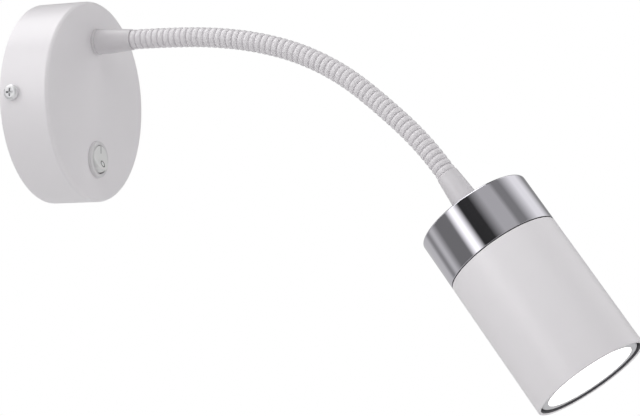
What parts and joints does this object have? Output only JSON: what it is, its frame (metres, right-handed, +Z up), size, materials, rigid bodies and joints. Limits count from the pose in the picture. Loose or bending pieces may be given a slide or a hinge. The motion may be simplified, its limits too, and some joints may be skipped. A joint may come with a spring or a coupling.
{
  "type": "wall reading lamp",
  "caption": "Wall-mounted reading lamp: round canopy with rocker switch, ribbed gooseneck and a tube head that holds a turn-lock spot bulb.",
  "frame": {"origin": "middle of the canopy's back, on the wall, midway between the two wall screws", "axes": "+Z up, +Y into the wall, so the lamp reaches out along -Y; +X to the right of someone who faces the wall"},
  "size_m": [0.1052, 0.2999, 0.2025],
  "materials": {
    "white_coat": "fine satin powder coat, white",
    "chrome": "polished nickel-chrome plate",
    "zinc_steel": "bright zinc plated steel",
    "screw_steel": "nickel plated steel",
    "white_plastic": "moulded white nylon, semi-gloss",
    "block_plastic": "moulded natural polyamide",
    "brass": "plain machined brass",
    "steatite": "unglazed white steatite ceramic",
    "black_rubber": "black moulded rubber",
    "cable_sheath": "white PVC sheath",
    "core_brown": "brown PVC core",
    "core_blue": "blue PVC core",
    "core_earth": "green and yellow PVC core",
    "bulb_plastic": "light grey coated aluminium and plastic",
    "bulb_lens": "opal diffuser, lit",
    "board": "white solder resist with yellow emitters"
  },
  "bodies": {
    "base": {"canopy": "white_coat", "wall_bracket": "zinc_steel", "cable_bush": "black_rubber", "side_screws": "screw_steel", "terminal_block": "block_plastic", "terminal_barrels": "brass", "terminal_clamp_screws": "zinc_steel", "terminal_fixing_screws": "zinc_steel", "switch_housing": "white_plastic", "switch_terminals": "brass", "base_ferrule": "white_coat", "base_star_washer": "zinc_steel", "base_earth_tag": "brass", "base_lock_nut": "zinc_steel", "lead_neutral": "core_blue", "lead_earth_neck": "core_earth", "lead_earth_canopy": "core_earth", "lead_live_switched": "core_brown", "lead_live_feed": "core_brown", "neck_section_1": "white_coat", "neck_cable_1": "cable_sheath"},
    "switch_rocker": {"switch_rocker": "white_plastic"},
    "neck_link_2": {"neck_section_2": "white_coat", "neck_cable_2": "cable_sheath"},
    "neck_link_3": {"neck_section_3": "white_coat", "neck_cable_3": "cable_sheath"},
    "neck_link_4": {"neck_section_4": "white_coat", "neck_cable_4": "cable_sheath"},
    "neck_link_5": {"neck_section_5": "white_coat", "neck_cable_5": "cable_sheath"},
    "neck_link_6": {"neck_section_6": "white_coat", "neck_cable_6": "cable_sheath"},
    "neck_link_7": {"neck_section_7": "white_coat", "neck_cable_7": "cable_sheath"},
    "head": {"neck_section_8": "white_coat", "neck_cable_8": "cable_sheath", "head_ferrule": "white_coat", "head_star_washer": "zinc_steel", "head_earth_tag": "brass", "head_lock_nut": "zinc_steel", "head_cap": "chrome", "head_tube": "white_coat", "holder_bracket": "zinc_steel", "holder_screws": "zinc_steel", "lampholder": "steatite", "lampholder_contacts": "brass", "head_lead_live": "core_brown", "head_lead_neutral": "core_blue", "head_lead_earth": "core_earth"},
    "bulb": {"bulb_housing": "bulb_plastic", "bulb_lens": "bulb_lens", "bulb_pins": "screw_steel", "bulb_led_board": "board"}
  },
  "joints": [
    {"name": "switch_rock", "type": "hinge", "parent": "base", "child": "switch_rocker", "pos_m": [0, -0.0243, -0.029], "axis": [1, 0, 0], "range_deg": [0, 20]},
    {"name": "neck_bend_1", "type": "hinge", "parent": "base", "child": "neck_link_2", "pos_m": [-0.00003, -0.0643, 0.02971], "axis": [0.9943, 0, -0.1063], "range_deg": [-25, 25]},
    {"name": "neck_swing_2", "type": "hinge", "parent": "neck_link_2", "child": "neck_link_3", "pos_m": [-0.00019, -0.08904, 0.0282], "axis": [0.1056, -0.1089, 0.9884], "range_deg": [-25, 25]},
    {"name": "neck_bend_3", "type": "hinge", "parent": "neck_link_3", "child": "neck_link_4", "pos_m": [-0.00064, -0.11347, 0.02405], "axis": [0.9943, 0, -0.1063], "range_deg": [-25, 25]},
    {"name": "neck_swing_4", "type": "hinge", "parent": "neck_link_4", "child": "neck_link_5", "pos_m": [-0.00144, -0.13705, 0.01649], "axis": [0.0978, -0.3907, 0.9153], "range_deg": [-25, 25]},
    {"name": "neck_bend_5", "type": "hinge", "parent": "neck_link_5", "child": "neck_link_6", "pos_m": [-0.0027, -0.15883, 0.00477], "axis": [0.9943, 0, -0.1063], "range_deg": [-25, 25]},
    {"name": "neck_swing_6", "type": "hinge", "parent": "neck_link_6", "child": "neck_link_7", "pos_m": [-0.00432, -0.17832, -0.01045], "axis": [0.0805, -0.6528, 0.7533], "range_deg": [-25, 25]},
    {"name": "neck_bend_7", "type": "hinge", "parent": "neck_link_7", "child": "head", "pos_m": [-0.00612, -0.19642, -0.02729], "axis": [0.9943, 0, -0.1063], "range_deg": [-25, 25]},
    {"name": "bulb_turn", "type": "hinge", "parent": "head", "child": "bulb", "pos_m": [-0.01374, -0.25023, -0.09859], "axis": [-0.086, -0.5878, -0.8044], "range_deg": [0, 20]}
  ]
}
